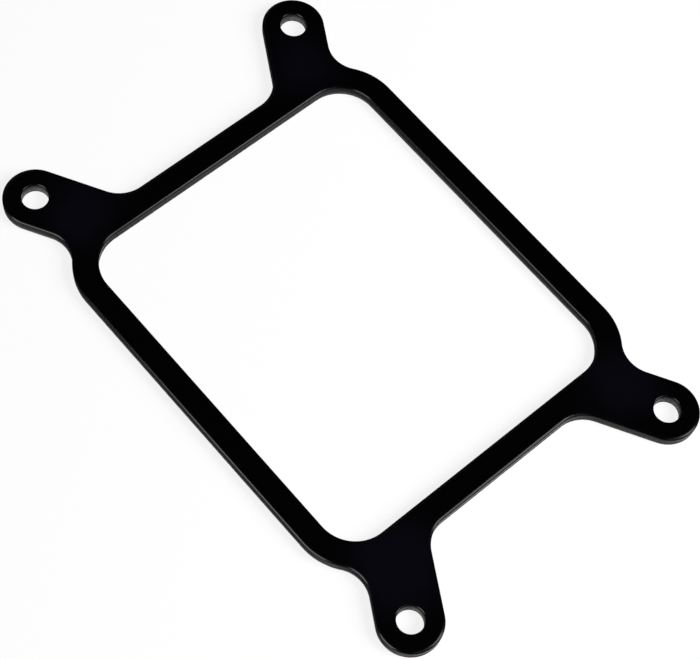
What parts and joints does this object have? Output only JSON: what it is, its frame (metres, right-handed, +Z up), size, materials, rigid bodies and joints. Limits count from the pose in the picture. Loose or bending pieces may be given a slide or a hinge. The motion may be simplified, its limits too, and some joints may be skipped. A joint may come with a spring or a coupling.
{
  "type": "water block mounting bracket",
  "caption": "Flat black-coated steel plate bracket: a rectangular frame around a large opening, with leaning round-ended ears at its corners, each pierced with a plain screw hole.",
  "frame": {"origin": "centre of the hole pattern and of the opening, on the plate's underside", "axes": "+X across the plate, along the shorter hole spacing; +Y along the plate, along the longer hole spacing; +Z up through the thickness, out of the face whose edges are rounded"},
  "size_m": [0.0668, 0.1048, 0.0022],
  "materials": {
    "black_coated_steel": "satin black coat, smooth on the faces and rolled edges, grainy on the broken lower part of the edge walls"
  },
  "bodies": {
    "root": {"bracket": "black_coated_steel"}
  },
  "joints": []
}
